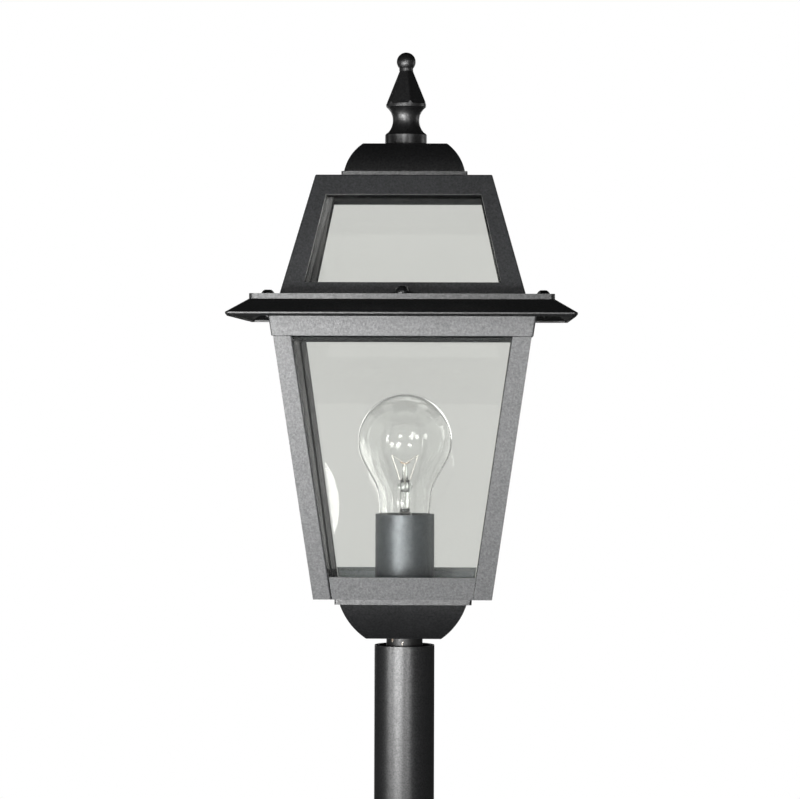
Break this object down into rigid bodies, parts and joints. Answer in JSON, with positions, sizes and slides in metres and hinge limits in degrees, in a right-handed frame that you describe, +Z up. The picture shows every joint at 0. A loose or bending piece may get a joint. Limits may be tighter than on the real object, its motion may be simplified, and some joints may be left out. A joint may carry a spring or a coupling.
{
  "type": "post top lantern",
  "caption": "Square tapered glass lantern with a hipped glazed roof, cap and faceted finial on a round post; roof lifts off, head swivels, bulb and finial unscrew.",
  "frame": {"origin": "centre of the post tube's open lower end, where the next post section is pushed in", "axes": "+Z up along the post, +X and +Y square to the lantern's sides, -Y the side in the picture"},
  "size_m": [0.2132, 0.2132, 0.5061],
  "materials": {
    "black_coat": "fine textured powder coat, satin",
    "neck_coat": "satin black, worn to bare metal in flecks",
    "dome_coat": "glossier black",
    "floor_coat": "satin",
    "zinc": "zinc plated",
    "pane_glass": "clear, faint grey",
    "black_silicone": "matte",
    "sleeve_metal": "satin blue-grey black",
    "black_plastic": "matte",
    "white_porcelain": "glazed",
    "shell_brass": "plain",
    "cap_aluminium": "plain",
    "solder_tip": "dull solder",
    "black_glass": "opaque black",
    "bulb_clear_glass": "clear",
    "filament_wire": "drawn",
    "white_plastic": "matte",
    "lead_insulation": "smooth",
    "earth_insulation": "smooth"
  },
  "bodies": {
    "post": {"post_tube": "black_coat", "post_bushing": "neck_coat", "post_grub_screws": "zinc"},
    "roof": {"eave_collar": "black_coat", "dome_screws": "dome_coat", "roof_frame": "black_coat", "roof_screws": "zinc", "roof_beads": "black_silicone", "roof_cap": "black_coat", "finial_stud": "zinc", "stud_nuts": "zinc", "roof_pane_front": "pane_glass", "roof_pane_right": "pane_glass", "roof_pane_back": "pane_glass", "roof_pane_left": "pane_glass"},
    "finial_seal": {"finial_washer": "black_silicone"},
    "finial": {"finial": "black_coat"},
    "bulb_seat": {"bulb_tip": "solder_tip"},
    "bulb": {"bulb_cap": "cap_aluminium", "bulb_insulator": "black_glass", "bulb_glass": "bulb_clear_glass", "bulb_stem": "bulb_clear_glass", "bulb_filament": "filament_wire"},
    "head": {"body_beads": "black_silicone", "body_pane_back": "pane_glass", "body_pane_front": "pane_glass", "body_pane_left": "pane_glass", "body_pane_right": "pane_glass", "bottom_rail_back": "black_coat", "bottom_rail_front": "black_coat", "bottom_rail_left": "black_coat", "bottom_rail_right": "black_coat", "bowl": "black_coat", "bowl_screws": "zinc", "centre_contact": "shell_brass", "corner_post_back_left": "black_coat", "corner_post_back_right": "black_coat", "corner_post_front_left": "black_coat", "corner_post_front_right": "black_coat", "earth_lead": "earth_insulation", "earth_screw": "zinc", "eave_gasket": "black_silicone", "floor_plate": "floor_coat", "floor_screws": "zinc", "grommet": "black_silicone", "lamp_leads": "lead_insulation", "lamp_sleeve": "sleeve_metal", "lampholder_base": "black_plastic", "lampholder_body": "white_porcelain", "lampholder_screws": "zinc", "neck_locknut": "zinc", "neck_spigot": "neck_coat", "neck_washer": "zinc", "ring_nuts": "zinc", "ring_screws": "zinc", "screw_shell": "shell_brass", "terminal_block": "white_plastic", "terminal_screws": "shell_brass", "top_ring": "black_coat"}
  },
  "joints": [
    {"name": "head_swivel", "type": "hinge", "parent": "post", "child": "head", "pos_m": [0, 0, 0.112], "axis": [0, 0, 1], "range_deg": [-175, 175]},
    {"name": "roof_lift", "type": "slide", "parent": "head", "child": "roof", "axis": [0, 0, 1], "range_m": [0, 0.12]},
    {"name": "finial_rise", "type": "slide", "parent": "roof", "child": "finial_seal", "axis": [0, 0, 1], "range_m": [0, 0.006]},
    {"name": "finial_turn", "type": "hinge", "parent": "finial_seal", "child": "finial", "pos_m": [0, 0, 0.448], "axis": [0, 0, 1], "range_deg": [0, 2160]},
    {"name": "bulb_rise", "type": "slide", "parent": "head", "child": "bulb_seat", "axis": [0, 0, 1], "range_m": [0, 0.01089]},
    {"name": "bulb_turn", "type": "hinge", "parent": "bulb_seat", "child": "bulb", "pos_m": [0, 0, 0.19], "axis": [0, 0, 1], "range_deg": [0, 1080]}
  ],
  "couplings": [
    {"joint": "finial_turn", "follows": "finial_rise", "rad_per_m": 6283.2},
    {"joint": "bulb_turn", "follows": "bulb_rise", "rad_per_m": 1730.9}
  ]
}
